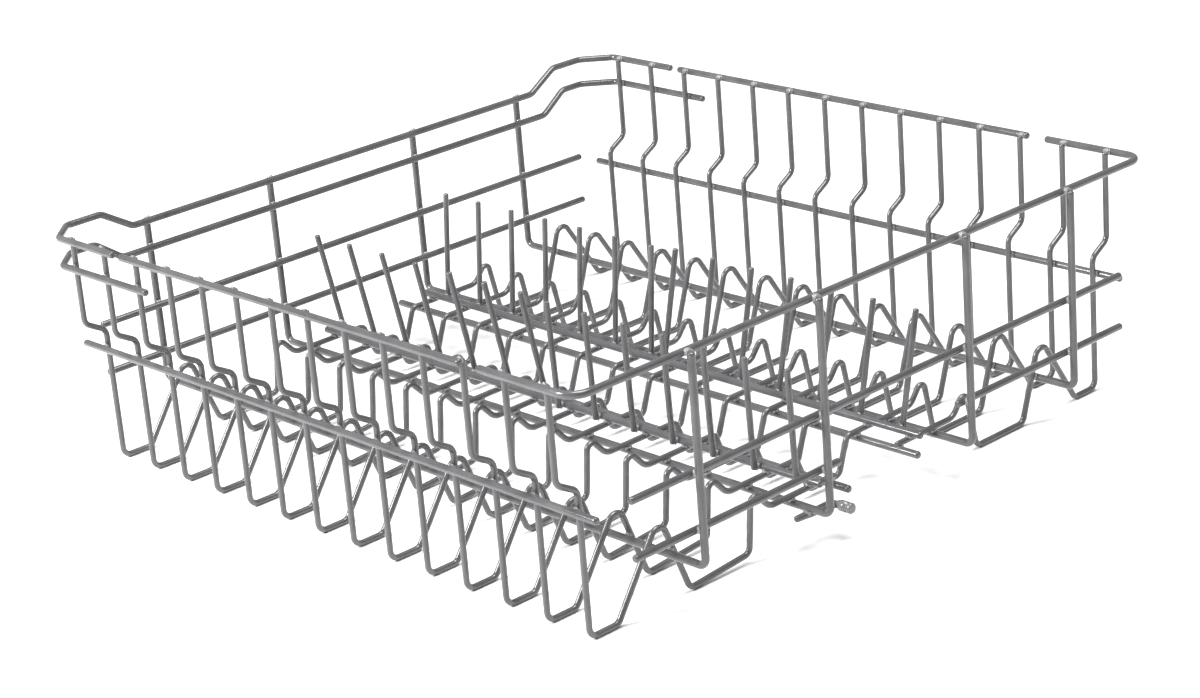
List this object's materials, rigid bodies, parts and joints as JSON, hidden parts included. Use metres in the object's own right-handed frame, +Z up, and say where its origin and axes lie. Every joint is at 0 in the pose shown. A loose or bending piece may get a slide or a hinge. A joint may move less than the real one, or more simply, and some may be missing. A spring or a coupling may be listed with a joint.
{
  "type": "dishwasher basket",
  "caption": "Open wire basket for the bottom of a dishwasher, with bent cross wires, side rails and two rows of plate tines.",
  "frame": {"origin": "under the middle of the basket, at the height of the low loops that it stands on", "axes": "+X across the cross wires to the right, +Y from the front wall to the back wall, +Z up"},
  "size_m": [0.5242, 0.5128, 0.1633],
  "materials": {
    "coated_wire": "satin nylon coat",
    "cap": "satin"
  },
  "bodies": {
    "root": {"cross_wire_01": "coated_wire", "cross_wire_02": "coated_wire", "cross_wire_03": "coated_wire", "cross_wire_04": "coated_wire", "cross_wire_05": "coated_wire", "cross_wire_06": "coated_wire", "cross_wire_07": "coated_wire", "cross_wire_08": "coated_wire", "cross_wire_09": "coated_wire", "cross_wire_10": "coated_wire", "cross_wire_11": "coated_wire", "cross_wire_12": "coated_wire", "cross_wire_13": "coated_wire", "cross_wire_14_front": "coated_wire", "cross_wire_14_back": "coated_wire", "u_frame_1": "coated_wire", "u_frame_2": "coated_wire", "u_frame_3": "coated_wire", "u_frame_4": "coated_wire", "left_rim": "coated_wire", "left_second_rim": "coated_wire", "right_rim": "coated_wire", "front_top_wire": "coated_wire", "back_top_wire": "coated_wire", "front_rail": "coated_wire", "back_rail": "coated_wire", "left_rail_upper": "coated_wire", "left_rail_lower": "coated_wire", "right_rail_upper": "coated_wire", "right_rail_lower_front": "coated_wire", "right_rail_lower_back": "coated_wire", "floor_wire_1": "coated_wire", "floor_wire_2": "coated_wire", "floor_wire_3": "coated_wire", "floor_wire_4": "coated_wire", "tine_row_a_left": "coated_wire", "tine_row_a_right": "coated_wire", "tine_row_b_left": "coated_wire", "tine_row_b_right": "coated_wire", "stop_wire": "coated_wire", "stop_cap": "cap"}
  },
  "joints": []
}
